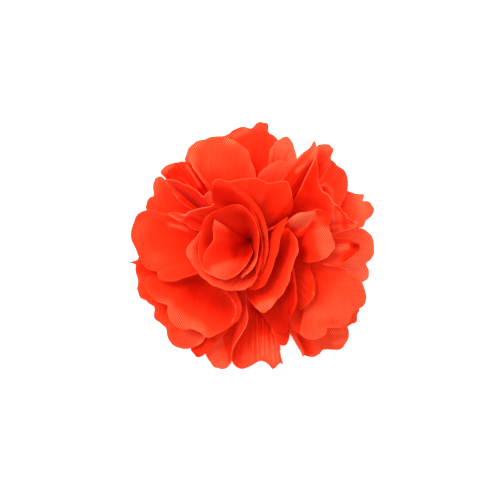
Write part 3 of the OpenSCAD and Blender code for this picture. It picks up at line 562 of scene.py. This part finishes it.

# %% [markdown]
# ## How each petal is finished
# All petals share one set of numbers, and a petal that looks different in the real flower changes only its
# own. Lengths are in chart steps, about a third of a millimetre each. `lobe` is for the scallops (depth,
# length along the cut, start), `pleat` for the even pleats (number, height, start), and `crease` for the
# small creases (height, number). `root` and `rim` are painted shade and light at the root and the rim,
# where -1 is deep, 0 plain and 1 pale: deep is painted shade, where light never reaches down between the
# petals, and pale is painted light, where the rims glow. `line` is the strength of the sealed cut's pale
# line, which is partly a painted highlight. `folds` and `painted_shading_lines` are drawn lines, each with
# its height or painted shade, its width to the left and right of someone who walks along it, and its
# corners. `spikes` are threads drawn out of the cut, each with its place, its pull and its reach.

# %% Numbers for scallops, pleats, creases, folds, and painted light and shade
# The plain root and rim values: painted shade at the root, painted light at the rim.
plain_look = {"lobe": 0.8, "lobe_run": 17, "lobe_at": 0.2, "pleats": 2.5, "pleat": 0.5, "pleat_at": 0.1,
              "crease": 0.35, "creases": 5, "root": -0.5, "rim": 0.1,
              "line": 0.25, "folds": [], "painted_shading_lines": [], "spikes": []}
# Each petal's own painted light and shade: deep in hollows and where other petals cast shadows, pale on
# highlights, sheen and glowing rims, laid on by its root, rim and lines.
own_look = {
    "bud_heart": {"root": -0.35, "rim": 0.05, "crease": 0.15,
        "folds": [[1.6, 5, 12, 226, 228, 228, 256], [1.2, 4, 10, 206, 268, 225, 263, 237, 257, 243, 253]],
        "painted_shading_lines": [[-0.2, 14, 3, 231, 230, 234, 254], [0.45, 3.5, 10, 214, 269, 226, 264, 235, 260, 238, 258],
            [-0.25, 3, 3, 205, 264, 210, 272], [0.3, 4, 4, 216, 222, 227, 229],
            [-0.25, 3, 4, 247, 240, 253, 241], [-0.3, 5, 4, 238, 253, 249, 253],
            [-0.6, 3.5, 3, 235, 257, 245, 257, 251, 249], [-0.2, 4, 4, 243, 247, 250, 245]]},
    "bud_wrap_1": {"rim": -0.05, "line": 0.9,
        "painted_shading_lines": [[-0.5, 7, 7, 207, 244, 208, 226, 216, 216, 230, 212, 244, 215],
            [-0.15, 9, 8, 250, 220, 254, 240], [-0.35, 3, 3, 212, 213, 224, 208, 236, 206],
            [0.8, 2, 2, 207, 272, 220, 278], [0.6, 2, 3, 243, 276, 256, 260]]},
    "bud_wrap_2": {"root": 0.0, "rim": -0.2, "line": 0.8,
        "painted_shading_lines": [[-1.1, 12, 12, 216, 196, 230, 199, 243, 210]]},
    "bud_wrap_3": {"root": 0.1, "rim": 0.0, "line": 0.5,
        "painted_shading_lines": [[0.4, 2, 2, 262, 232, 264, 250], [-0.3, 5, 5, 240, 188, 252, 198, 262, 216]]},
    "bud_lip": {"root": -0.45, "rim": 0.2, "crease": 0.5, "creases": 9, "lobe": 1.2, "lobe_run": 14,
        "folds": [[1.2, 4, 6, 199, 242, 201, 258, 208, 270]],
        "painted_shading_lines": [[0.35, 5, 5, 190, 244, 190, 254], [0.1, 4, 4, 206, 279, 225, 286, 245, 286],
            [0.15, 4, 4, 222, 281, 246, 279]]},
    "bud_flap": {"root": -0.1, "rim": 0.0, "line": 1.5,
        "folds": [[1.4, 2, 4, 173, 215, 187, 214], [-0.8, 5, 5, 188, 220, 204, 214]],
        "painted_shading_lines": [[0.2, 4, 3, 173, 216, 184, 216], [0.6, 0.9, 0.9, 171, 216, 182, 221, 187, 214],
            [-0.8, 1.2, 1.2, 170, 212, 180, 212], [0.1, 8, 6, 190, 216, 192, 224, 204, 226]]},
    "bud_leaf": {"root": -0.1, "rim": -0.15, "line": 0.8,
        "painted_shading_lines": [[-0.2, 5, 5, 281, 222, 268, 230], [0.5, 3, 3, 257, 260, 259, 268],
            [-0.35, 6, 6, 252, 287, 262, 281]]},
    "collar_petal": {"root": -0.25, "rim": -0.12, "line": 1.4,
        "folds": [[1.0, 10, 10, 232, 186, 250, 196], [-0.4, 9, 9, 270, 184, 268, 200]],
        "painted_shading_lines": [[-0.65, 14, 3, 295, 198, 268, 232], [0.2, 8, 8, 226, 190, 262, 196],
            [0.25, 5, 5, 260, 202, 268, 218]]},
    "long_leaf": {"root": -0.4, "rim": 0.15, "lobe": 1.2, "lobe_run": 14,
        "folds": [[1.6, 7, 5, 294, 238, 293, 262, 282, 287, 268, 302], [0.9, 3, 3, 288, 262, 282, 276]],
        "painted_shading_lines": [[-0.45, 9, 9, 275, 258, 262, 290], [-0.3, 4, 4, 288, 231, 291, 242],
            [0.4, 6, 6, 270, 302, 260, 304], [-0.8, 5, 5, 246, 293, 252, 301]]},
    "petal_shadow": {"root": -0.75, "rim": -0.65, "line": 0.2, "folds": [[0.8, 6, 6, 292, 280, 286, 310]],
        "painted_shading_lines": [[-0.25, 6, 6, 283, 310, 286, 320], [0.25, 5, 5, 272, 314, 278, 310],
            [-0.2, 9, 9, 284, 326, 266, 316], [-0.35, 4, 4, 293, 288, 289, 312],
            [0.5, 0.8, 0.8, 292, 265, 295, 285, 296, 300, 290, 318]]},
    "petal_bright": {"root": -0.4, "rim": 0.2, "line": 0.6,
        "folds": [[1.9, 1.4, 8, 312, 215, 308, 225, 297, 238], [1.0, 8, 8, 318, 226, 322, 250]],
        "painted_shading_lines": [[1.7, 4, 6, 294, 219, 303, 217, 311, 215], [0.5, 4, 5, 298, 222, 306, 221],
            [0.5, 1.2, 4, 311, 215, 307, 224, 298, 234], [-0.6, 3, 1, 313, 217, 309, 228, 299, 240],
            [0.3, 4, 4, 291, 226, 297, 228], [-0.9, 7, 8, 293, 240, 301, 262],
            [0.3, 11, 11, 320, 235, 322, 250], [-0.6, 5, 4, 316, 213, 326, 213, 327, 223],
            [-0.5, 7, 7, 306, 253, 314, 258]]},
    "petal_folded": {"root": -0.3, "rim": 0.0, "line": 1.4,
        "folds": [[-1.5, 7, 7, 304, 190, 318, 200, 334, 214], [0.6, 1.9, 1.9, 332, 205, 335, 230],
            [0.6, 1.9, 1.9, 339, 212, 342, 230]],
        "painted_shading_lines": [[-0.5, 8, 8, 313, 172, 306, 200, 318, 206], [0.3, 2.5, 2.5, 350, 226, 357, 223],
            [0.4, 5, 5, 331, 220, 333, 228], [0.5, 1.3, 1.3, 332, 206, 334, 230],
            [0.5, 1.3, 1.3, 339, 212, 341, 230], [0.4, 1, 1, 328, 204, 329, 229],
            [0.7, 0.8, 0.8, 341, 209, 346, 216, 349, 225], [-0.7, 1.2, 1.2, 337, 207, 344, 214, 352, 221],
            [0.35, 1, 1, 336, 210, 338, 229], [0.9, 0.7, 0.7, 314, 160, 299, 192]]},
    "petal_left": {"root": -0.3, "rim": 0.05,
        "folds": [[2.2, 1.8, 8, 160, 218, 172, 223, 184, 227, 196, 234, 206, 244],
            [1.2, 6, 6, 140, 232, 176, 244], [1.0, 6, 6, 150, 262, 186, 256]],
        "painted_shading_lines": [[0.6, 1.2, 3, 170, 224, 182, 227, 187, 229], [-0.5, 6, 1, 172, 220, 184, 224, 198, 232],
            [0.12, 8, 8, 146, 222, 140, 234], [0.15, 10, 10, 156, 256, 186, 266]]},
    "petal_lower_left": {
        "folds": [[2.0, 12, 9, 158, 284, 180, 302, 204, 316, 218, 332],
            [1.2, 1.5, 4, 222, 289, 232, 298, 237, 310, 233, 320], [-1.5, 9, 9, 196, 292, 218, 306]],
        "painted_shading_lines": [[-0.12, 14, 15, 186, 286, 200, 292], [-0.6, 14, 15, 200, 292, 214, 299, 228, 312],
            [0.3, 9, 11, 166, 306, 200, 330], [-0.2, 6, 7, 154, 279, 198, 281],
            [1.0, 0.8, 0.8, 224, 290, 231, 297, 236, 306], [0.9, 0.8, 0.8, 236, 306, 236, 314, 232, 322],
            [0.35, 3, 2, 234, 296, 239, 306]]},
    "petal_low_fold": {"root": -0.25, "rim": 0.2, "line": 1.3,
        "folds": [[0.5, 4, 4, 246, 300, 232, 346], [-1.0, 4, 4, 238, 316, 226, 350]],
        "painted_shading_lines": [[0.2, 9, 9, 214, 346, 220, 364], [-0.3, 7, 1, 223, 337, 229, 356],
            [-0.25, 3, 3, 243, 304, 244, 318, 236, 338], [0.35, 6, 3, 215, 342, 225, 340],
            [-0.3, 2.5, 2.5, 247, 300, 248, 318, 243, 329, 236, 341, 232, 350, 231, 360],
            [0.35, 2.5, 2.5, 236, 294, 238, 304]]},
    "petal_tongue": {"root": -0.35, "rim": -0.5, "line": 0.35, "folds": [[-0.8, 5, 5, 300, 268, 302, 300]],
        "painted_shading_lines": [[0.3, 4, 2, 312, 274, 313, 292], [0.5, 3, 3, 314, 293, 308, 304]]},
    "petal_lower_right": {"root": -0.2, "rim": 0.22,
        "folds": [[1.6, 7, 9, 332, 266, 326, 282, 308, 304], [1.2, 8, 8, 350, 290, 322, 306],
            [0.9, 6, 6, 338, 316, 318, 312], [-2.0, 1.0, 8, 303, 304, 298, 334]],
        "painted_shading_lines": [[0.1, 7, 6, 313, 268, 322, 267, 332, 269], [0.12, 16, 16, 340, 290, 336, 306],
            [0.2, 12, 12, 312, 312, 322, 318], [-0.2, 5, 5, 322, 323, 332, 322],
            [-0.5, 0.8, 8, 304, 303, 299, 334], [0.35, 0.8, 0.8, 305, 304, 300, 334]]},
    "petal_pocket": {"root": 0.05, "rim": 0.05, "line": 0.0,
        "folds": [[0.8, 3, 3, 339, 248, 346, 245, 357, 245], [-0.8, 4, 4, 353, 247, 345, 259]],
        "painted_shading_lines": [[1.3, 2.5, 2.5, 336, 250, 341, 247, 347, 246], [-0.7, 3, 3, 357, 247, 351, 254, 345, 260],
            [0.15, 8, 8, 328, 262, 336, 256], [-0.9, 2.5, 2.5, 351, 245, 356, 245],
            [-0.3, 1.5, 1.5, 335, 239, 345, 239, 353, 241]]},
    "petal_spike": {"rim": 0.35, "line": 0.6, "folds": [[1.2, 2, 6, 318, 147, 311, 160, 297, 172]],
        "painted_shading_lines": [[0.6, 2, 3, 317, 150, 309, 162, 297, 172], [0.1, 4, 4, 297, 172, 292, 180],
            [-1.1, 5, 5, 312, 164, 304, 180, 293, 196]], "spikes": [[314, 144, 0, -3, 3]]},
    "petal_top_small": {"root": -0.1, "rim": 0.4, "line": 0.4, "painted_shading_lines": [[0.15, 5, 5, 292, 172, 295, 182]]},
    "petal_top": {"root": -0.3, "rim": 0.2, "pleat": 0.7, "pleats": 1.5,
        "folds": [[1.0, 7, 7, 230, 143, 234, 176], [1.0, 6, 6, 206, 150, 214, 178]],
        "painted_shading_lines": [[0.3, 5, 5, 192, 160, 190, 150, 198, 143], [0.4, 3, 3, 228, 142, 233, 142],
            [0.35, 1.2, 1.2, 190, 162, 201, 178, 210, 187], [0.2, 14, 14, 213, 164, 230, 177]]},
    "petal_pleat": {"rim": -0.1, "line": 1.1,
        "folds": [[-0.6, 5, 8, 172, 186, 186, 198, 204, 212], [1.5, 3, 3, 210, 190, 212, 206]],
        "painted_shading_lines": [[-0.5, 4, 7, 174, 189, 188, 202, 200, 212], [-0.7, 4, 3, 186, 204, 197, 209],
            [0.3, 6, 5, 203, 202, 214, 200], [0.4, 3, 3, 211, 190, 212, 204]]},
    "petal_upper_left": {"root": -0.2, "line": 1.2, "folds": [[1.2, 8, 2, 166, 181, 180, 203, 188, 214]],
        "painted_shading_lines": [[0.2, 5, 5, 158, 180, 156, 190], [-0.4, 4, 2, 182, 200, 196, 211]]},
    "rim_left": {"root": -0.4, "rim": 0.15, "painted_shading_lines": [[-0.4, 5, 5, 142, 268, 160, 276]],
        "spikes": [[136, 262, -12, 0.5, 3]]},
    "rim_lower_left": {"root": -0.4, "rim": 0.15,
        "folds": [[0.9, 4, 4, 160, 312, 190, 322], [1.4, 4, 3, 196, 346, 206, 336]],
        "painted_shading_lines": [[0.3, 3, 3, 200, 344, 206, 337], [0.3, 6, 6, 184, 333, 194, 338]]},
    "rim_fold_low": {"root": -0.8, "rim": -0.1, "painted_shading_lines": [[0.05, 6, 6, 208, 346, 222, 336]]},
    "petal_low": {"crease": 0.6, "creases": 12, "lobe": 0.3, "pleats": 8,
        "folds": [[0.5, 0.8, 0.8, 257, 316, 258, 360], [0.4, 0.8, 0.8, 263, 320, 263, 356],
            [0.5, 0.8, 0.8, 271, 332, 274, 360]],
        "painted_shading_lines": [[-0.55, 10, 10, 254, 306, 276, 322], [-0.35, 6, 6, 256, 326, 266, 332],
            [0.6, 0.7, 0.7, 257, 316, 258, 360], [0.5, 0.6, 0.6, 260, 320, 261, 357],
            [0.6, 0.7, 0.7, 263, 320, 263, 356], [0.5, 0.6, 0.6, 266, 326, 267, 356],
            [0.7, 0.7, 0.7, 271, 332, 274, 360], [0.6, 0.6, 0.6, 275, 336, 278, 360],
            [0.4, 0.6, 0.6, 253, 326, 253, 360], [0.5, 3, 3, 247, 296, 249, 314],
            [0.35, 5, 4, 265, 334, 268, 358], [0.25, 6, 6, 274, 346, 276, 360],
            [0.2, 7, 7, 245, 342, 247, 358]], "spikes": [[281, 361, 3, 4, 2.5]]},
    "rim_low_right": {"root": -0.7, "rim": 0.0},
    "rim_right_low": {"root": -0.1, "rim": 0.3},
    "rim_lower_right": {"root": -0.1, "rim": 0.3, "line": 0.4,
        "folds": [[0.7, 4, 4, 318, 334, 344, 344], [1.4, 2.5, 2.5, 292, 336, 301, 354]],
        "painted_shading_lines": [[0.4, 2, 2, 333, 333, 346, 332], [0.3, 2, 2, 334, 343, 345, 341],
            [1.1, 2, 3, 293, 337, 301, 353], [-0.9, 6, 1, 299, 338, 305, 352]],
        "spikes": [[302, 355, 1, 4, 3]]},
    "rim_right": {"root": -0.1, "rim": 0.52,
        "folds": [[1.2, 5, 5, 344, 240, 372, 238], [1.0, 5, 5, 342, 262, 368, 262]],
        "painted_shading_lines": [[0.9, 9, 9, 348, 264, 362, 276], [0.15, 6, 6, 334, 236, 350, 237]]},
    "rim_right_high": {"root": -0.2, "rim": 0.3,
        "folds": [[1.2, 4, 4, 346, 206, 366, 198], [-1.0, 4, 4, 346, 214, 368, 206]],
        "painted_shading_lines": [[0.3, 7, 7, 362, 198, 363, 212], [0.1, 2.5, 2.5, 349, 226, 357, 223]]},
    "rim_right_up": {"root": -0.2, "rim": 0.15, "line": 0.4,
        "folds": [[1.8, 2, 5, 318, 187, 325, 184, 331, 191, 332, 202], [0.9, 5, 5, 330, 168, 324, 182]],
        "painted_shading_lines": [[0.45, 1.5, 2, 318, 187, 325, 184, 331, 191, 332, 202], [-0.4, 4, 4, 322, 190, 327, 196],
            [0.4, 1.5, 1.5, 330, 164, 320, 181]]},
    "rim_upper_right": {"rim": 0.25, "folds": [[1.0, 4, 4, 322, 150, 324, 184]],
        "painted_shading_lines": [[0.3, 4, 4, 318, 148, 330, 147], [-0.3, 4, 4, 320, 168, 322, 184]]},
    "rim_top_right": {"root": -0.2, "rim": 0.65, "folds": [[1.0, 6, 6, 284, 140, 284, 160]]},
    "rim_top": {"root": -0.4, "rim": 0.12,
        "folds": [[1.0, 5, 5, 246, 132, 254, 160], [1.0, 6, 6, 262, 126, 264, 156]],
        "painted_shading_lines": [[0.35, 3, 3, 234, 136, 246, 130], [0.15, 4, 4, 254, 126, 266, 126]]},
    "rim_top_left": {"root": -0.2, "rim": 0.4},
    "petal_pleat_back": {"root": -0.6, "rim": 0.05, "line": 0.8, "pleat": 1.1, "pleats": 4,
        "painted_shading_lines": [[-0.9, 2.5, 2.5, 190, 164, 208, 188], [0.9, 1.2, 1.5, 187, 166, 200, 187],
            [0.9, 1.0, 1.2, 179, 177, 200, 194], [0.45, 3, 3, 163, 172, 172, 166],
            [-0.8, 4, 4, 201, 191, 207, 198], [-0.4, 3, 3, 172, 172, 190, 190]]},
}


def look_of(number, name):
    """The shared numbers, with the petal's own on top and a seed from its place in the table."""
    return {**plain_look, "seed": number + 1, **own_look.get(name, {})}


print("petals with their own look:", len(own_look))

# %% [markdown]
# ## From a function to a sheet
# The grid is sampled closer together near the cut edges, where the sealed line, partly a painted highlight,
# is only a third of a millimetre wide. Each point also gets its place on the cloth, so that the weave runs
# along the petal. A Solidify modifier then gives the sheet its thickness and closes it all round.

# %% Places on the grid, and a mesh from a grid
cloth_t = 0.00034
seal_mm = 0.28
close_rows_mm = np.array([0.0, 0.20, seal_mm, 0.60])


def toward_ends(count, run_mm, both):
    """Places from 0 to 1, evenly spread, with three close rows in the last third of a millimetre before 1,
    and the same after 0 if both is true."""
    near = close_rows_mm / run_mm
    inner = np.linspace(near[3] if both else 0, 1 - near[3], count)
    start = near[:3] if both else np.array([])
    return np.concatenate([start, inner, (1 - near[:3])[::-1]])


def run_along(points, axis):
    """How far each point of a grid lies from the grid's start along one axis, as the sum of the steps."""
    size = np.linalg.norm(np.diff(points, axis=axis), axis=2)
    return np.concatenate([np.zeros_like(size.take([0], axis)), np.cumsum(size, axis)], axis)


def new_piece(name, mesh, material):
    """A mesh with smooth faces and one material, as an object in the scene."""
    mesh.polygons.foreach_set("use_smooth", np.ones(len(mesh.polygons), bool))
    mesh.update()
    mesh.materials.append(material)
    piece = bpy.data.objects.new(name, mesh)
    bpy.context.scene.collection.objects.link(piece)
    return piece


def sheet_mesh(name, points, places, edge, shade):
    """A mesh from a grid of points in metres, with its cloth map in metres and its two point attributes."""
    rows, columns = points.shape[:2]
    number = np.arange(rows * columns).reshape(rows, columns)
    quads = np.stack([number[:-1, :-1], number[:-1, 1:], number[1:, 1:], number[1:, :-1]], -1).reshape(-1, 4)
    mesh = bpy.data.meshes.new(name)
    mesh.from_pydata(points.reshape(-1, 3), [], quads)
    cloth_map = mesh.uv_layers.new(name="cloth")
    cloth_map.data.foreach_set("uv", places.reshape(-1, 2)[quads.ravel()].astype(np.float32).ravel())
    for key, value in (("edge", edge), ("shade", shade)):
        attribute = mesh.attributes.new(key, "FLOAT", "POINT")
        attribute.data.foreach_set("value", value.astype(np.float32).ravel())
    return mesh


print("a sheet is %.2f mm thick" % (cloth_t * 1000))

# %% [markdown]
# ## One petal
# A petal is first measured on a coarse grid: the length of its rim sets how many strips it gets, and the
# mean length of its strips sets where the close rows near the cut fall. Its flat cloth is as wide as the
# rim is long, and as long as the longest strip. Its area is that of the finished surface, but at least 0.31
# of width times length. It is gathered at its root and lies on the felt.

# %% The sealed line with its painted highlight, the cloth map and the sheet of one petal
coarse_s, coarse_v = np.linspace(0, 1, 60), np.linspace(0, 1, 12)
strip_w_mm, spare_strips, even_rows = 0.42, 8, 30
line_from, line_to, root_squeeze = 0.6, 1.3, 0.15


def seal_and_highlight_line(look, s, v, rim_mm, strip_mm):
    """The petal's line number at a cut, a pale seal that is partly a painted highlight, and 0 further from
    it than 1.3 widths of the sealed line. The way to a side cut shrinks toward the root, to 0.15 of what it
    is at the rim, as the cloth is gathered."""
    to_rim = (1 - v)[:, None] * np.interp(s, coarse_s, strip_mm)[None, :]
    squeeze = root_squeeze + (1 - root_squeeze) * v
    to_side = (np.minimum(s, 1 - s) * rim_mm)[None, :] * squeeze[:, None]
    return look["line"] * (1 - fade_in(np.minimum(to_rim, to_side), seal_mm * line_from, seal_mm * line_to))


def cloth_places(points, metres):
    """Places on the cloth in metres: how far a point is along its row from the middle strip, and along its
    strip from the root, with the second turned to where the petal points on the chart."""
    width, length = run_along(metres, 1), run_along(metres, 0)
    outward = (points[-1] - points[0]).mean(0)[:2]
    outward /= np.linalg.norm(outward)
    side = np.array([-outward[1], outward[0]])
    side *= np.sign(side @ (points[-1, -1] - points[-1, 0])[:2])
    middle = points.shape[1] // 2
    return (width - width[:, [middle]])[..., None] * side + length[..., None] * outward


def make_petal(number, petal):
    """One petal as a sheet of satin on the flower, and the number of its triangles."""
    name = petal[0]
    look = look_of(number, name)
    coarse = base_cloth(petal, coarse_s, coarse_v) * step * 1000
    rim_mm = np.linalg.norm(np.diff(coarse[-1], axis=0), axis=1).sum()
    strip_mm = np.linalg.norm(np.diff(coarse, axis=0), axis=2).sum(0)
    s = toward_ends(int(rim_mm / strip_w_mm) + spare_strips, rim_mm, True)
    v = toward_ends(even_rows, strip_mm.mean(), False)
    points = cloth(petal, s, v, look)
    metres = np.stack([points[..., 0] - mid[0], mid[1] - points[..., 1], points[..., 2]], -1) * step
    mesh = sheet_mesh(name + "_cloth", metres, cloth_places(points, metres),
                      seal_and_highlight_line(look, s, v, rim_mm, strip_mm), painted_shading_of(points, v, look))
    piece = new_piece(name + "_cloth", mesh, satin_red)
    wall = piece.modifiers.new("wall", "SOLIDIFY")
    wall.thickness, wall.offset = cloth_t, 0
    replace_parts(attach(piece, "root"), name)
    return 4 * (len(mesh.polygons) + len(s) + len(v) - 2)


print("rows of points in a petal:", even_rows + 3)

# %% [markdown]
# ## The felt disc
# Behind the flower is a disc of red felt, a little domed, to which all petals are sewn. It is a profile
# carried round a circle: flat below, round at its edge, and rising to the middle. Felt has no threads, only
# matted fibres, so its material is a soft noise in colour and bump.

# %% Felt disc behind the petals
rim_power, edge_power = 0.45, 6
waves, wave_depth = 7, 0.006
same_place = 1e-7
fibres, patches = 2600.0, 240.0


def disc_points(low, high, thick, around, rings):
    """A profile carried round, for t from 0 at the middle of the underside to pi at the middle of the top.
    Its radius is R sin(t)^0.45, in seven shallow waves round the circle. Its height is a share of the
    thickness there, 0.5 sin(t)^6 on the underside and 1 - 0.5 sin(t)^6 on top, and the top rises from
    thick at the edge to the full height in the middle."""
    t = np.linspace(0, math.pi, rings)[:, None]
    turn = np.linspace(0, 2 * math.pi, around, endpoint=False)[None, :]
    full = (high[0] - low[0]) / 2
    radius = full * np.sin(t) ** rim_power * (1 - wave_depth * np.sin(waves * turn + 1) ** 2)
    top = low[2] + thick + (high[2] - low[2] - thick) * (1 - radius / full)
    share = np.where(t > math.pi / 2, 1 - 0.5 * np.sin(t) ** edge_power, 0.5 * np.sin(t) ** edge_power)
    height = low[2] + (top - low[2]) * share
    middle = [(low[0] + high[0]) / 2, (low[1] + high[1]) / 2]
    return np.stack([middle[0] + radius * np.cos(turn), middle[1] + radius * np.sin(turn),
                     height + 0 * turn], -1)


def felt(deep, pale):
    """Matted fibres: fine and coarse noise in the colour, from deep to pale, and a fuzzy bump."""
    bench = Bench("felt")
    place = bench.add("TexCoord", out=3)
    fibre = bench.add("TexNoise", None, {"Vector": place, "Scale": fibres, "Detail": 4.0})
    patch = bench.add("TexNoise", None, {"Vector": place, "Scale": patches, "Detail": 2.0})
    tone = (0.5 + (fibre - 0.5) * 1.2 + (patch - 0.5) * 0.8).limited()
    colour = bench.add("Mix", {"data_type": "RGBA"}, {0: tone, 6: (*deep, 1), 7: (*pale, 1)}, out=2)
    bump = bench.add("Bump", None, {"Strength": 0.6, "Distance": 0.0003, "Height": fibre})
    return bench.finish(Base_Color=colour, Roughness=0.92, Normal=bump,
                        Sheen_Weight=0.2, Sheen_Tint=(1.0, 0.15, 0.08, 1))


def closed_round(name, points):
    """A closed mesh from rings of points, joined round and merged at both poles."""
    rings, around = points.shape[:2]
    number = np.arange(rings * around).reshape(rings, around)
    after = np.roll(number, -1, axis=1)
    quads = np.stack([number[:-1], after[:-1], after[1:], number[1:]], -1).reshape(-1, 4)
    mesh = bpy.data.meshes.new(name)
    mesh.from_pydata(points.reshape(-1, 3), [], quads)
    form = bmesh.new()
    form.from_mesh(mesh)
    bmesh.ops.remove_doubles(form, verts=form.verts, dist=same_place)
    bmesh.ops.recalc_face_normals(form, faces=form.faces)
    form.to_mesh(mesh)
    form.free()
    return mesh


pad_low, pad_high = (np.array(c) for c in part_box("felt_pad"))
disc_grid = disc_points(pad_low, pad_high, thick=0.002, around=120, rings=48)
felt_red = felt(deep=(0.30, 0.006, 0.003), pale=(0.62, 0.018, 0.008))
disc = new_piece("felt_disc", closed_round("felt_disc", disc_grid), felt_red)
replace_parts(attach(disc, "root"), "felt_pad")
print("felt disc: %d faces" % len(disc.data.polygons))

# %% [markdown]
# ## The whole flower
# A maker sews the outer ring first and ends with the bud. Here any order would do, because the table gives
# each petal a place where it touches no other.

# %% All the petals
faces = [make_petal(number, petal) for number, petal in enumerate(petals)]
print("petals: %d, triangles: %d, most: %d" % (len(faces), sum(faces), max(faces)))

# %% [markdown]
# ## The bar pin
# The pin behind is stamped steel. The CAD solid already has its true shape, so it only gets its finish:
# bright metal with fine brush marks along the bar.

# %% Steel for the bar pin
marks_along, marks_across = 200.0, 6000.0


def steel():
    """Bright steel with brush marks: noise stretched along the bar drives roughness and a small bump."""
    bench = Bench("steel")
    place = bench.add("TexCoord", out=3)
    marks = (marks_along, marks_across, marks_across)
    drawn_out = bench.add("Mapping", None, {"Vector": place, "Scale": marks})
    brush = bench.add("TexNoise", None, {"Vector": drawn_out, "Scale": 1.0, "Detail": 3.0})
    bump = bench.add("Bump", None, {"Strength": 0.2, "Distance": 0.00005, "Height": brush})
    return bench.finish(Metallic=1.0, Base_Color=(0.62, 0.62, 0.60, 1),
                        Roughness=0.28 + 0.2 * brush, Normal=bump)


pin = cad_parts["bar_pin"]
pin.data.materials.clear()
pin.data.materials.append(steel())
print("bar pin finished")
